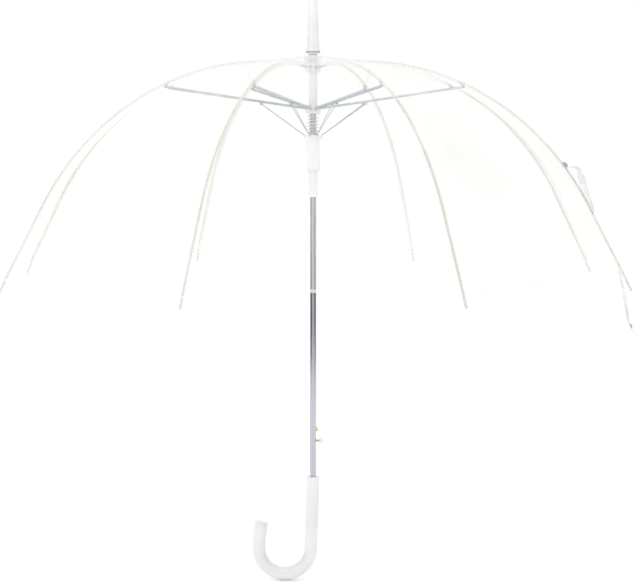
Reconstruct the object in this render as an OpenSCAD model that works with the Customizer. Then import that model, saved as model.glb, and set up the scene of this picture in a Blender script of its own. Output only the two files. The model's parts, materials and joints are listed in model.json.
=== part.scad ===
// Stick umbrella with a clear dome canopy, eight ribs and automatic opening.
// Origin: shaft axis at the handle's top rim. +Z runs up the shaft, -X is the crook's side.

/* [Shaft] */
// Outer radius of the steel shaft
shaft_r = 4.5; // [4.4:0.1:4.5]
// Wall thickness of the shaft tube
shaft_wall = 0.6; // [0.5:0.1:0.7]
// Height of the shaft's upper end, inside the ferrule
shaft_top = 648; // [638:5:658]

/* [Handle] */
// Radius of the handle's round section
handle_r = 9.5; // [9:0.5:10]
// Length of the handle's straight stem
stem_length = 104.6; // [100.6:0.5:108.6]
// Lean of the stem away from the shaft axis, in degrees
stem_lean = 1.84; // [1.5:0.02:2]
// Radius of the crook's centreline
crook_r = 37.2; // [35.2:0.5:39.2]
// Bend radius of the crook's free limb, which curls in towards the shaft
limb_bend_r = 150; // [130:5:170]
// Turn of that curl, in degrees
limb_curl = 10; // [8:0.5:12]
// Length of the limb's straight end
limb_end = 12; // [11:0.5:14]
// Depth of the shaft in the handle
handle_socket = 60; // [50:5:70]

/* [Ribs] */
// Radius of the fibreglass ribs
rib_r = 1.5; // [1.4:0.1:1.6]
// Direction of the first rib, in degrees from +X
first_rib_angle = -20.8; // [-22.5:0.1:-20]
// Height of the wire that the ribs turn on
notch_z = 581.5; // [581:0.5:582]
// Bend radius of the ribs over the shoulder
shoulder_r = 370; // [365:1:375]
// Steepest slope of the ribs, in degrees
rib_slope = 61.8; // [61.3:0.1:62.3]
// Length of the ribs' straight lower stretch
rib_straight = 130.3; // [126.3:0.2:134.3]
// Slope of the rib at its joint clip, in degrees
clip_slope = 24.3; // [24:0.1:24.6]

/* [Runners] */
// Radius of the two ring wires that ribs and stretchers turn on
ring_r = 9.5; // [9.4:0.1:9.6]
// Radius of the notch and of the upper runner
hub_r = 10.8; // [10.6:0.1:11]
// Distance of the strut pins along the stretchers
strut_pin_reach = 69.5; // [68:0.5:71]
// Length of the wire struts
strut_length = 80; // [79.5:0.1:80.5]
// Radius at which the struts meet the lower runner
strut_foot_r = 12.4; // [12.2:0.1:12.6]
// Radius of the lower runner's flange
flange_r = 13.6; // [13.4:0.1:13.8]
// Radius of the lower runner's wide barrel
barrel_r = 10; // [9.8:0.1:10.4]
// Radius of the lower runner's narrow barrel
neck_r = 6.85; // [6.6:0.05:7]

/* [Canopy] */
// Thickness of the film
film_t = 0.4; // [0.3:0.1:0.5]
// Height of the film's centre at the ferrule
apex_z = 598.5; // [598.1:0.1:599.2]
// Length of each rib left bare below the hem
rib_bare = 17.8; // [16:0.2:19]

/* [Ferrule] */
// Height of the ferrule's foot
ferrule_z = 599.9; // [599.8:0.1:600.5]
// Radius of the ferrule's foot
ferrule_r = 10; // [9.5:0.1:10.5]
// Radius of the ferrule's round end
ferrule_tip_r = 6.2; // [6:0.1:6.4]
// Height of the ferrule's upper end
ferrule_top = 696; // [690:1:702]

/* [Latch] */
// Height of the latch tooth's flat face
tooth_z = 65.1; // [64.8:0.1:65.3]
// Height of the push button's axis
button_z = 51.4; // [50.6:0.2:52]

/* [Hidden] */
$fn = 48;

rib_count = 8;
rib_pitch = 360 / rib_count;
fixed_gap = 0.02;      // between pieces that are pressed or glued together
seam_lift = 0.05;      // how far the ball over a seam between two bends stands proud
run_gap = 0.06;        // between a shaft and what slides or turns on it
end_gap = 0.3;         // between stops and between film panels
rivet_r = 0.6;         // rivets, and the ring wires
eye_hole_r = 0.75;     // hole for the curved ring wire
eye_r = 1.7;           // outer radius of the eyes on the ring wires
blade_t = 1.8;         // thickness of eyes and tongues
slot_w = 2.4;          // slots and forks that the blades turn in
blade_length = 12.5;   // from the ring wire to the end of the blade
latch_slot_w = 3.4;    // width of the latch's slot in the shaft and of its window in the runner
cut_length = 300;      // bores that go right through a piece are cut this long

// Outline of a rib: it rises from the notch on a flat bend, then bends down over the shoulder.
crown_x = 70;
crown_z = notch_z + 7;
crown_bend = (pow(crown_x - ring_r, 2) + pow(crown_z - notch_z, 2)) / (2 * (crown_z - notch_z));
crown_rise = asin((crown_x - ring_r) / crown_bend);
function bend_point(slope, offset = 0) =
    let (r = slope < 0 ? crown_bend : shoulder_r)
    [crown_x + (r + offset) * sin(slope), crown_z - r + (r + offset) * cos(slope)];
function rib_dir(slope) = [cos(slope), -sin(slope)];
function degrees_of(length) = length / shoulder_r * 180 / PI;
rib_bend_end = bend_point(rib_slope);
rib_end = rib_bend_end + rib_straight * rib_dir(rib_slope);

// The stretchers' outer pins sit under the ribs, and the closed linkage is an isosceles triangle:
// notch pin to clip pin equals clip pin to runner pin, so the runner stays on the shaft's axis.
clip_pin_drop = 3.7;
clip_pin = bend_point(clip_slope, -clip_pin_drop);
runner_z = 2 * clip_pin[1] - notch_z;
stretcher_length = norm(clip_pin - [ring_r, runner_z]);
stretcher_rise = asin((clip_pin[1] - runner_z) / stretcher_length);
strut_pin_drop = 3;
strut_pin = [ring_r, runner_z]
    + strut_pin_reach * [cos(stretcher_rise), sin(stretcher_rise)]
    + strut_pin_drop * [sin(stretcher_rise), -cos(stretcher_rise)];
strut_foot_z = strut_pin[1] - sqrt(pow(strut_length, 2) - pow(strut_pin[0] - strut_foot_r, 2));
strut_rise = asin((strut_pin[1] - strut_foot_z) / strut_length);

// Hubs
hub_below = 7;          // notch and upper runner: body on the side of the blades' roots
hub_above = 5;
groove_r = ring_r - rivet_r - 0.05;
slot_floor_r = 7.4;
slot_depth = 2.4;       // hub slots reach this far past the wire's plane
runner_top = runner_z + hub_above;
sleeve_r = 6.35;
spring_wire_r = 0.65;
spring_r = 8 - spring_wire_r;
spring_turns = 17;
spring_top = runner_z - hub_below - spring_wire_r - 0.1;
spring_seat = strut_foot_z - 45;
spring_cavity_r = 8.7;
flange_bottom = strut_foot_z - 5;
flange_top = strut_foot_z + 1.6;
barrel_bottom = strut_foot_z - 48.5;
neck_bottom = strut_foot_z - 86;
window_z = neck_bottom + 5.7;
window_h = 12.6;

// Canopy film lies on the ribs. Its panels are flat from rib to rib.
film_offset = 2.6;
hem_length = rib_straight - rib_bare;
crown_rows = 6;
shoulder_rows = 7;
function film_crown(lift) = concat(
    [[7.4, apex_z + lift]],
    [for (i = [0:crown_rows]) bend_point(clip_slope * i / crown_rows, film_offset + lift)]);
function film_skirt(lift) = concat(
    [for (i = [0:shoulder_rows])
        bend_point(clip_slope + 0.1 + (rib_slope - clip_slope - 0.1) * i / shoulder_rows,
            film_offset + lift)],
    [bend_point(rib_slope, film_offset + lift) + hem_length * rib_dir(rib_slope)]);

// Closure strap. Stations: length along the first rib from the end of its bend, offset, twist
function rib_slope_at(s) = rib_slope + degrees_of(min(s, 0));
function rib_station(s, offset) =
    bend_point(rib_slope_at(s), offset) + max(s, 0) * rib_dir(rib_slope);
strap_t = 0.5;
snap_h = 1.4;
socket_r = 4;
socket_place = [-62.5, 3.9];
stud_r = 3.4;
stud_place = [171, -21.6];
loop_w = 10;
loop_path = [
    [-67, 3.5, 0], [-58.3, 3.5, 0], [-54.5, 8.6, -10], [-48.2, 14.1, -25], [-39.4, 12, -50],
    [-26.5, 7.9, -60], [-13.8, 5.6, -34], [0.3, 5, -12], [13.3, 3.6, 0],
];
tail_w = 5;
tail_side = 5.4;
tail_path = [
    [97, -0.9, -20], [110.3, -4.9, -30], [123.7, -8.1, -45], [136.6, -12.5, -60], [149.4, -16.8, -65],
    [162.6, -21, -40], [167, -22, 0], [175, -22, 0], [180, -21.8, 0], [187.1, -18.1, 0],
];

// Latch
leaf_x = 2.4;
leaf_t = 1;
leaf_w = 3;
leaf_bottom = 30;
leaf_top = 82;
tooth_h = 9.8;
tooth_reach = 8.2;
button_stem_r = 1.6;
button_r = 4.2;
button_inner = 8.6;
button_outer = 14.5;

// ---------- helpers ----------

// Puts a drawing made in a rib's own plane (x outwards, y up) at the rib's place round the shaft
module at_rib(i) {
    rotate([0, 0, first_rib_angle - rib_pitch * (i - 1)])
        rotate([90, 0, 0])
            children();
}

// Stretch of a bend between two slopes; the child is its section, x across the bend
module along_bend(from, to) {
    r = from < 0 ? crown_bend : shoulder_r;
    translate([crown_x, crown_z - r, 0])
        rotate([0, 0, 90 - to])
            rotate_extrude(angle = to - from, $fn = 360)
                translate([r, 0])
                    children();
}

// Flat eye with an arm, lying in the rib's plane, arm along +x
module blade(length, arm_low, arm_high) {
    difference() {
        union() {
            cylinder(r = eye_r, h = blade_t, center = true);
            translate([0, arm_low, -blade_t / 2])
                cube([length, arm_high - arm_low, blade_t]);
        }
        cylinder(r = eye_hole_r, h = 3 * blade_t, center = true);
    }
}

module ring_wire(z) {
    translate([0, 0, z])
        rotate_extrude($fn = 96)
            translate([ring_r, 0])
                circle(r = rivet_r, $fn = 16);
}

// Hub with radial slots and a groove for its ring wire, drawn about the wire's plane.
// The slots are open outwards and towards +z.
module slotted_hub(below, above, bore_r) {
    difference() {
        translate([0, 0, -below])
            cylinder(r = hub_r, h = below + above, $fn = 96);
        cylinder(r = bore_r, h = 4 * (below + above), center = true, $fn = 64);
        rotate_extrude($fn = 96)
            translate([groove_r, -rivet_r - 0.05])
                square([hub_r, 2 * rivet_r + 0.1]);
        for (i = [1:rib_count])
            rotate([0, 0, first_rib_angle - rib_pitch * (i - 1)])
                translate([slot_floor_r, -slot_w / 2, -slot_depth])
                    cube([hub_r, slot_w, above + 3]);
    }
}

// Closed skin over a row of rings that all have the same number of points
module ring_skin(rings) {
    n = len(rings) - 1;
    sides = len(rings[0]);
    walls = [for (k = [0:n - 1], s = [0:sides - 1])
        let (t = (s + 1) % sides)
        [k * sides + s, (k + 1) * sides + s, (k + 1) * sides + t, k * sides + t]];
    caps = [[for (s = [0:sides - 1]) s], [for (s = [sides - 1:-1:0]) n * sides + s]];
    polyhedron([for (ring = rings) each ring], concat(walls, caps), convexity = 20);
}

// Closed thin panel between two lines of the film, from rib i to the next one
module film_panel(i, outer, inner) {
    n = len(outer);
    a = first_rib_angle - rib_pitch * (i - 1);
    function place(p, turn, inset) =
        [p[0] * cos(turn), p[0] * sin(turn), p[1]] + inset * [-sin(turn), cos(turn), 0];
    points = [for (k = [0:n - 1]) each [
        place(outer[k], a, -end_gap / 2),
        place(outer[k], a - rib_pitch, end_gap / 2),
        place(inner[k], a, -end_gap / 2),
        place(inner[k], a - rib_pitch, end_gap / 2),
    ]];
    sides = [for (k = [0:n - 2]) each [
        [4 * k, 4 * k + 4, 4 * k + 5, 4 * k + 1],
        [4 * k + 2, 4 * k + 3, 4 * k + 7, 4 * k + 6],
        [4 * k, 4 * k + 2, 4 * k + 6, 4 * k + 4],
        [4 * k + 1, 4 * k + 5, 4 * k + 7, 4 * k + 3],
    ]];
    ends = [[0, 1, 3, 2], [4 * n - 4, 4 * n - 2, 4 * n - 1, 4 * n - 3]];
    polyhedron(points, concat(sides, ends), convexity = 4);
}

// ---------- fixed pieces ----------

module shaft() {
    slot_low = button_z - 8;
    color("silver")
        difference() {
            translate([0, 0, -handle_socket])
                cylinder(r = shaft_r, h = shaft_top + handle_socket, $fn = 64);
            translate([0, 0, -handle_socket - 1])
                cylinder(r = shaft_r - shaft_wall, h = shaft_top + handle_socket + 2, $fn = 64);
            translate([0, -latch_slot_w / 2, slot_low])
                cube([3 * shaft_r, latch_slot_w, tooth_z + tooth_h + 10 - slot_low]);
        }
}

// Part of the crook: a round bar bent about the origin, from +x towards -z
module crook_bend(bend_r, turn) {
    rotate([90, 0, 0])
        mirror([0, 1, 0])
            rotate_extrude(angle = turn, $fn = 96)
                translate([bend_r, 0])
                    circle(r = handle_r, $fn = 64);
}

// Stem, crook and limb in one plane; a slightly proud ball hides each seam between them
module handle() {
    bend_sweep = 180 - stem_lean;
    seam_r = handle_r + 0.06;
    end_round = 2.5;
    end_profile = concat(
        [[0, 0], [handle_r, 0]],
        [for (u = [0:15:90])
            [handle_r - end_round * (1 - cos(u)), limb_end - end_round * (1 - sin(u))]],
        [[0, limb_end]]);
    color("white")
        difference() {
            rotate([0, stem_lean, 0]) {
                translate([0, 0, -stem_length]) {
                    cylinder(r = handle_r, h = stem_length, $fn = 64);
                    sphere(r = seam_r, $fn = 64);
                }
                translate([-crook_r, 0, -stem_length]) {
                    crook_bend(crook_r, bend_sweep);
                    rotate([0, bend_sweep, 0]) {
                        translate([crook_r, 0, 0])
                            sphere(r = seam_r, $fn = 64);
                        translate([crook_r - limb_bend_r, 0, 0]) {
                            crook_bend(limb_bend_r, limb_curl);
                            rotate([0, limb_curl, 0])
                                translate([limb_bend_r, 0, 0]) {
                                    sphere(r = seam_r, $fn = 64);
                                    mirror([0, 0, 1])
                                        rotate_extrude($fn = 64)
                                            polygon(end_profile);
                                }
                        }
                    }
                }
            }
            translate([-2 * handle_r, -2 * handle_r, 0])
                cube([4 * handle_r, 4 * handle_r, handle_r]);
            translate([0, 0, -handle_socket - fixed_gap])
                cylinder(r = shaft_r + fixed_gap, h = handle_socket + handle_r, $fn = 64);
        }
}

module ferrule() {
    foot_h = 6;
    tip_h = 14;
    round_h = 2;
    color("white")
        difference() {
            union() {
                translate([0, 0, ferrule_z])
                    cylinder(r = ferrule_r, h = foot_h, $fn = 64);
                translate([0, 0, ferrule_z + foot_h])
                    cylinder(r1 = ferrule_r - 0.4, r2 = ferrule_tip_r,
                        h = ferrule_top - tip_h - ferrule_z - foot_h, $fn = 64);
                translate([0, 0, ferrule_top - tip_h])
                    cylinder(r = ferrule_tip_r, h = tip_h - round_h, $fn = 64);
                translate([0, 0, ferrule_top - round_h])
                    cylinder(r1 = ferrule_tip_r, r2 = ferrule_tip_r - round_h, h = round_h, $fn = 64);
            }
            translate([0, 0, ferrule_z - 1])
                cylinder(r = shaft_r + fixed_gap, h = shaft_top - ferrule_z + 1.2, $fn = 64);
        }
}

module top_notch() {
    neck_h = ferrule_z - notch_z - hub_below;
    color("whitesmoke") {
        difference() {
            union() {
                translate([0, 0, notch_z])
                    mirror([0, 0, 1])
                        slotted_hub(hub_above, hub_below, shaft_r + fixed_gap);
                translate([0, 0, notch_z + hub_above])
                    cylinder(r = 6, h = ferrule_z - notch_z - hub_above - 0.05, $fn = 64);
            }
            translate([0, 0, notch_z])
                cylinder(r = shaft_r + fixed_gap, h = neck_h + 20, $fn = 64);
        }
        ring_wire(notch_z);
    }
}

module stop_sleeve() {
    sleeve_bottom = runner_top + end_gap;
    color("white")
        translate([0, 0, sleeve_bottom])
            difference() {
                cylinder(r = sleeve_r, h = notch_z - hub_below - 0.05 - sleeve_bottom, $fn = 64);
                translate([0, 0, -1])
                    cylinder(r = shaft_r + fixed_gap, h = cut_length, $fn = 64);
            }
}

// ---------- runners, spring and struts ----------

module upper_runner() {
    color("lightgray") {
        translate([0, 0, runner_z])
            slotted_hub(hub_below, hub_above, shaft_r + run_gap);
        ring_wire(runner_z);
    }
}

module lower_runner() {
    foot_slot_w = 2;
    color("white")
        difference() {
            union() {
                translate([0, 0, flange_bottom])
                    cylinder(r = flange_r, h = flange_top - flange_bottom, $fn = 96);
                translate([0, 0, barrel_bottom])
                    cylinder(r = barrel_r, h = flange_bottom - barrel_bottom, $fn = 64);
                translate([0, 0, neck_bottom])
                    cylinder(r = neck_r, h = barrel_bottom - neck_bottom, $fn = 64);
                translate([0, 0, neck_bottom])
                    cylinder(r1 = neck_r + 0.5, r2 = neck_r, h = 3, $fn = 64);
            }
            translate([0, 0, neck_bottom - 1])
                cylinder(r = shaft_r + run_gap, h = cut_length, $fn = 64);
            translate([0, 0, spring_seat])
                cylinder(r = spring_cavity_r, h = cut_length, $fn = 64);
            translate([0, -latch_slot_w / 2, window_z])
                cube([2 * neck_r, latch_slot_w, window_h]);
            for (i = [1:rib_count])
                rotate([0, 0, first_rib_angle - rib_pitch * (i - 1)])
                    translate([strut_foot_r - 0.9, -foot_slot_w / 2, strut_foot_z - 0.9])
                        cube([flange_r, foot_slot_w, 10]);
        }
}

// Round wire wound round the shaft: rings of a six-sided tube along a helix
module spring() {
    steps = 14;
    sides = 6;
    height = spring_top - spring_seat - spring_wire_r - 0.1;
    n = spring_turns * steps;
    function ring(k) =
        let (turn = 360 * k / steps, z = spring_top - height * k / n)
        [for (s = [0:sides - 1])
            let (u = 360 * s / sides, r = spring_r + spring_wire_r * cos(u))
            [r * cos(turn), r * sin(turn), z + spring_wire_r * sin(u)]];
    color("gray")
        ring_skin([for (k = [0:n]) ring(k)]);
}

// Channel, open downwards, with a blade for the ring wire, a rivet for the strut and one for the clip
module stretcher(i) {
    outer_w = 3.6;
    wall = (outer_w - slot_w) / 2;
    low = -1.3;
    high = 1.7;
    channel_start = 11.5;
    web_end = stretcher_length - 6;
    lug_r = 1.6;
    color("lightslategray")
        at_rib(i)
            translate([ring_r, runner_z, 0])
                rotate([0, 0, stretcher_rise]) {
                    blade(blade_length + 2, -1.2, high);
                    translate([channel_start, high - wall, -outer_w / 2])
                        cube([web_end - channel_start, wall, outer_w]);
                    for (side = [-1, 1])
                        translate([0, 0, side * (slot_w + wall) / 2]) {
                            translate([channel_start, low, -wall / 2])
                                cube([stretcher_length - channel_start, high - low, wall]);
                            translate([stretcher_length, 0, 0])
                                cylinder(r = lug_r, h = wall, center = true, $fn = 32);
                            translate([strut_pin_reach, -strut_pin_drop, 0])
                                cylinder(r = lug_r, h = wall, center = true, $fn = 32);
                            translate([strut_pin_reach - lug_r, -strut_pin_drop, -wall / 2])
                                cube([2 * lug_r, strut_pin_drop, wall]);
                        }
                    translate([stretcher_length, 0, 0])
                        cylinder(r = rivet_r, h = outer_w + 0.6, center = true, $fn = 24);
                    translate([strut_pin_reach, -strut_pin_drop, 0])
                        cylinder(r = rivet_r, h = outer_w + 0.6, center = true, $fn = 24);
                }
}

// Wire with a flat eye at the stretcher and a round foot in the lower runner's slot
module strut(i) {
    wire_r = 0.7;
    color("silver")
        at_rib(i)
            translate([strut_pin[0], strut_pin[1], 0])
                rotate([0, 0, 180 + strut_rise])
                    difference() {
                        union() {
                            cylinder(r = 1.5, h = 1.6, center = true, $fn = 32);
                            rotate([0, 90, 0])
                                cylinder(r = wire_r, h = strut_length, $fn = 24);
                            translate([strut_length, 0, 0])
                                sphere(r = wire_r, $fn = 24);
                        }
                        cylinder(r = rivet_r + run_gap, h = 6, center = true, $fn = 32);
                    }
}

// ---------- ribs ----------

module rib_inner(i) {
    clip_r = 2.2;
    clip_from = clip_slope - degrees_of(8);
    clip_to = clip_slope - degrees_of(0.7);
    rod_end = clip_slope - degrees_of(0.9);
    rod_start = -crown_rise + (blade_length - 2) / crown_bend * 180 / PI;
    color("ivory")
        at_rib(i) {
            translate([ring_r, notch_z, 0])
                rotate([0, 0, crown_rise])
                    blade(blade_length, -1.2, 1.2);
            along_bend(rod_start, 0)
                circle(r = rib_r, $fn = 24);
            along_bend(0, rod_end)
                circle(r = rib_r, $fn = 24);
            translate([crown_x, crown_z, 0])
                sphere(r = rib_r + seam_lift, $fn = 24);
        }
    color("dimgray")
        at_rib(i)
            difference() {
                union() {
                    along_bend(clip_from, clip_to)
                        circle(r = clip_r, $fn = 32);
                    translate([clip_pin[0], clip_pin[1], 0])
                        cylinder(r = 1.6, h = blade_t, center = true, $fn = 32);
                    translate([clip_pin[0], clip_pin[1], 0])
                        rotate([0, 0, -clip_slope])
                            translate([-5, 0.2, -blade_t / 2])
                                cube([5, clip_pin_drop - 1.6, blade_t]);
                }
                along_bend(clip_from - 0.5, clip_to + 0.5)
                    circle(r = rib_r + fixed_gap, $fn = 24);
                translate([clip_pin[0], clip_pin[1], 0])
                    cylinder(r = rivet_r + run_gap, h = 6, center = true, $fn = 32);
            }
}

module rib_outer(i) {
    cap_r = 2.4;
    cap_length = rib_bare - 1.5;
    cap_end = 1.2;
    rod_start = clip_slope + degrees_of(0.9);
    color("ivory")
        at_rib(i) {
            along_bend(rod_start, rib_slope)
                circle(r = rib_r, $fn = 24);
            translate([rib_bend_end[0], rib_bend_end[1], 0])
                rotate([0, 0, -rib_slope])
                    rotate([0, 90, 0]) {
                        cylinder(r = rib_r, h = rib_straight - cap_end - fixed_gap, $fn = 24);
                        sphere(r = rib_r + seam_lift, $fn = 24);
                    }
        }
    color("whitesmoke")
        at_rib(i)
            translate([rib_end[0], rib_end[1], 0])
                rotate([0, 0, -rib_slope])
                    rotate([0, 90, 0])
                        difference() {
                            union() {
                                translate([0, 0, -cap_length])
                                    cylinder(r = cap_r, h = cap_length - 0.6, $fn = 32);
                                translate([0, 0, -0.6])
                                    cylinder(r1 = cap_r, r2 = cap_r - 0.6, h = 0.6, $fn = 32);
                            }
                            translate([0, 0, -cap_length - 1])
                                cylinder(r = rib_r + fixed_gap, h = cap_length + 1 - cap_end, $fn = 24);
                        }
}

// ---------- canopy ----------

module crown_panel(i) {
    color([0.93, 0.93, 0.9, 0.5])
        film_panel(i, film_crown(film_t), film_crown(0));
}

module canopy_panel(i) {
    color([0.93, 0.93, 0.9, 0.5])
        film_panel(i, film_skirt(film_t), film_skirt(0));
}

// Ring of four corners round a ribbon at station k of its path. A station holds the place along
// the first rib, the offset from the rib's axis and the twist.
function ribbon_ring(path, k, width, side) =
    let (
        before = path[max(k - 1, 0)],
        after = path[min(k + 1, len(path) - 1)],
        step = rib_station(after[0], after[1]) - rib_station(before[0], before[1]),
        along = [step[0], step[1], 0] / norm(step),
        out = [-along[1], along[0], 0],
        wide = cos(path[k][2]) * [0, 0, 1] + sin(path[k][2]) * out,
        thin = cross(wide, along),
        middle = rib_station(path[k][0], path[k][1]))
    [for (c = [[1, -1], [1, 1], [-1, 1], [-1, -1]])
        [middle[0], middle[1], side] + c[0] * width / 2 * wide + c[1] * strap_t / 2 * thin];

// Loop of soft band outside the film, and the narrow tail that hangs below the hem
module closure_strap() {
    color([0.93, 0.93, 0.9, 0.6])
        at_rib(1) {
            ring_skin([for (k = [0:len(loop_path) - 1]) ribbon_ring(loop_path, k, loop_w, 0)]);
            ring_skin([for (k = [0:len(tail_path) - 1]) ribbon_ring(tail_path, k, tail_w, tail_side)]);
        }
}

// One half of the press snap: a disc that lies flat on the strap at a station of the first rib
module snap_disc(place, side, disc_r) {
    foot = rib_station(place[0], place[1]);
    at_rib(1)
        translate([foot[0], foot[1], side])
            rotate([0, 0, -rib_slope_at(place[0])])
                rotate([-90, 0, 0])
                    cylinder(r = disc_r, h = snap_h, $fn = 32);
}

module strap_snap() {
    color("gray") {
        snap_disc(socket_place, 0, socket_r);
        snap_disc(stud_place, tail_side, stud_r);
    }
}

// ---------- latch ----------

module latch_leaf() {
    color("goldenrod") {
        translate([leaf_x, -leaf_w / 2, leaf_bottom])
            cube([leaf_t, leaf_w, leaf_top - leaf_bottom]);
        translate([leaf_x + leaf_t, 1.2, tooth_z])
            rotate([90, 0, 0])
                linear_extrude(2.4)
                    polygon([[0, 0], [tooth_reach - leaf_x - leaf_t, 0], [0, tooth_h]]);
        translate([leaf_x + leaf_t / 2, 0, button_z])
            rotate([0, 90, 0])
                cylinder(r = button_stem_r, h = button_inner + 2 - leaf_x - leaf_t / 2, $fn = 32);
    }
}

module button_cap() {
    round_h = 1;
    color([0.95, 0.95, 0.95, 0.8])
        translate([0, 0, button_z])
            rotate([0, 90, 0])
                difference() {
                    union() {
                        translate([0, 0, button_inner])
                            cylinder(r = button_r, h = button_outer - round_h - button_inner, $fn = 48);
                        translate([0, 0, button_outer - round_h])
                            cylinder(r1 = button_r, r2 = button_r - round_h, h = round_h, $fn = 48);
                    }
                    cylinder(r = button_stem_r + fixed_gap, h = button_inner + 2 + fixed_gap, $fn = 32);
                }
}

shaft();
handle();
ferrule();
top_notch();
stop_sleeve();
upper_runner();
lower_runner();
spring();
latch_leaf();
button_cap();
closure_strap();
strap_snap();
rib_inner(1);  // rib_inner_1
rib_inner(2);  // rib_inner_2
rib_inner(3);  // rib_inner_3
rib_inner(4);  // rib_inner_4
rib_inner(5);  // rib_inner_5
rib_inner(6);  // rib_inner_6
rib_inner(7);  // rib_inner_7
rib_inner(8);  // rib_inner_8
rib_outer(1);  // rib_outer_1
rib_outer(2);  // rib_outer_2
rib_outer(3);  // rib_outer_3
rib_outer(4);  // rib_outer_4
rib_outer(5);  // rib_outer_5
rib_outer(6);  // rib_outer_6
rib_outer(7);  // rib_outer_7
rib_outer(8);  // rib_outer_8
stretcher(1);  // stretcher_1
stretcher(2);  // stretcher_2
stretcher(3);  // stretcher_3
stretcher(4);  // stretcher_4
stretcher(5);  // stretcher_5
stretcher(6);  // stretcher_6
stretcher(7);  // stretcher_7
stretcher(8);  // stretcher_8
strut(1);  // strut_1
strut(2);  // strut_2
strut(3);  // strut_3
strut(4);  // strut_4
strut(5);  // strut_5
strut(6);  // strut_6
strut(7);  // strut_7
strut(8);  // strut_8
crown_panel(1);  // crown_panel_1
crown_panel(2);  // crown_panel_2
crown_panel(3);  // crown_panel_3
crown_panel(4);  // crown_panel_4
crown_panel(5);  // crown_panel_5
crown_panel(6);  // crown_panel_6
crown_panel(7);  // crown_panel_7
crown_panel(8);  // crown_panel_8
canopy_panel(1);  // canopy_panel_1
canopy_panel(2);  // canopy_panel_2
canopy_panel(3);  // canopy_panel_3
canopy_panel(4);  // canopy_panel_4
canopy_panel(5);  // canopy_panel_5
canopy_panel(6);  // canopy_panel_6
canopy_panel(7);  // canopy_panel_7
canopy_panel(8);  // canopy_panel_8
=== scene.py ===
"""Clear dome stick umbrella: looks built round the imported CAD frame. Lengths are in metres."""

import json
import math

import bmesh
import bpy
from mathutils import Matrix, Vector


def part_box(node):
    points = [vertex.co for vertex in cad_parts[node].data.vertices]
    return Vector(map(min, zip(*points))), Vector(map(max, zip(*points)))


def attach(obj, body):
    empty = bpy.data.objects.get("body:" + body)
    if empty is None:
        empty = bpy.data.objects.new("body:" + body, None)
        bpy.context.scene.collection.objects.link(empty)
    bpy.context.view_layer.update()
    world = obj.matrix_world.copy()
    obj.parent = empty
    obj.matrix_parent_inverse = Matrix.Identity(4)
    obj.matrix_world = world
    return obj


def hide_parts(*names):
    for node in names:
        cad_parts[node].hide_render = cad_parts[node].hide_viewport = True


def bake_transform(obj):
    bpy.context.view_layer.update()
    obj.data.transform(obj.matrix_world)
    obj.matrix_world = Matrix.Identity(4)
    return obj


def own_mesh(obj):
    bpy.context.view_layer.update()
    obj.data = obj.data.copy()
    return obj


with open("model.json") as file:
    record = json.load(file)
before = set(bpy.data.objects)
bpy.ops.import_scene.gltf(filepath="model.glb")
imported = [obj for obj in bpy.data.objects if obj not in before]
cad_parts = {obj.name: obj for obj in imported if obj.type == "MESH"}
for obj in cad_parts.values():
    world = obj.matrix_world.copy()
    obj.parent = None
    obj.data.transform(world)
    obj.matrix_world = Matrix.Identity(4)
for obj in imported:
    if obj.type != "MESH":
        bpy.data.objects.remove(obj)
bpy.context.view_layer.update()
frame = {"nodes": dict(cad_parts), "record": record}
MM = 0.001

# ---------------------------------------------------------------- the frame's own sizes

JOINTS = {joint["name"]: joint for joint in frame["record"]["behaviour"]["joints"]}
RIBS = range(1, 9)
PITCH = math.radians(45)
HALF = PITCH / 2


def pivot(name):
    """A hinge's place as (distance from the shaft axis, height)."""
    x, y, z = JOINTS[name]["pos_m"]
    return math.hypot(x, y), z


def azimuth(i):
    """Direction of rib i round the shaft, from +X towards +Y."""
    x, y, _ = JOINTS[f"rib_flex_{i}"]["pos_m"]
    return math.atan2(y, x)


NOTCH_R, NOTCH_Z = pivot("canopy_fold")
CLIP_R, CLIP_Z = pivot("rib_flex_1")
RUNNER_Z = pivot("upper_runner_turn")[1]
FOOT_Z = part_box("lower_runner")[1][2] - 1.6 * MM

# A rib: a flat bend up from the notch, a bend over the shoulder, a straight stretch to the hem.
CROWN_X = 0.070
CROWN_Z = NOTCH_Z + 0.007
SHOULDER = 0.370
STRAIGHT = 0.1303
STEEPEST = math.radians(61.8)
HEM_INSET = 0.0178
CROWN_BEND = ((CROWN_X - NOTCH_R) ** 2 + (CROWN_Z - NOTCH_Z) ** 2) / (2 * (CROWN_Z - NOTCH_Z))
CROWN_RISE = math.asin((CROWN_X - NOTCH_R) / CROWN_BEND)
FLAT_LENGTH = CROWN_BEND * CROWN_RISE
BEND_LENGTH = SHOULDER * STEEPEST
RIB_LENGTH = FLAT_LENGTH + BEND_LENGTH + STRAIGHT
CLIP_S = FLAT_LENGTH + SHOULDER * math.asin((CLIP_R - CROWN_X) / SHOULDER)
HEM_S = RIB_LENGTH - HEM_INSET
ROD_R = 0.0015
FILM_LIFT = 0.0019
APEX_R = 0.0075
APEX_Z = 0.5981
CROWN_EDGE_S = FLAT_LENGTH + 0.012


def rib_slope(s):
    """Slope below the horizontal at s along a rib."""
    if s < FLAT_LENGTH:
        return (s - FLAT_LENGTH) / CROWN_BEND
    return min((s - FLAT_LENGTH) / SHOULDER, STEEPEST)


def rib_point(s, lift=0.0):
    """(r, z) at s along a rib's centreline, lift outwards from it."""
    slope = rib_slope(s)
    bend = CROWN_BEND if s < FLAT_LENGTH else SHOULDER
    r = CROWN_X + (bend + lift) * math.sin(slope)
    z = CROWN_Z - bend + (bend + lift) * math.cos(slope)
    past = max(0.0, s - FLAT_LENGTH - BEND_LENGTH)
    return r + past * math.cos(slope), z - past * math.sin(slope)


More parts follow.
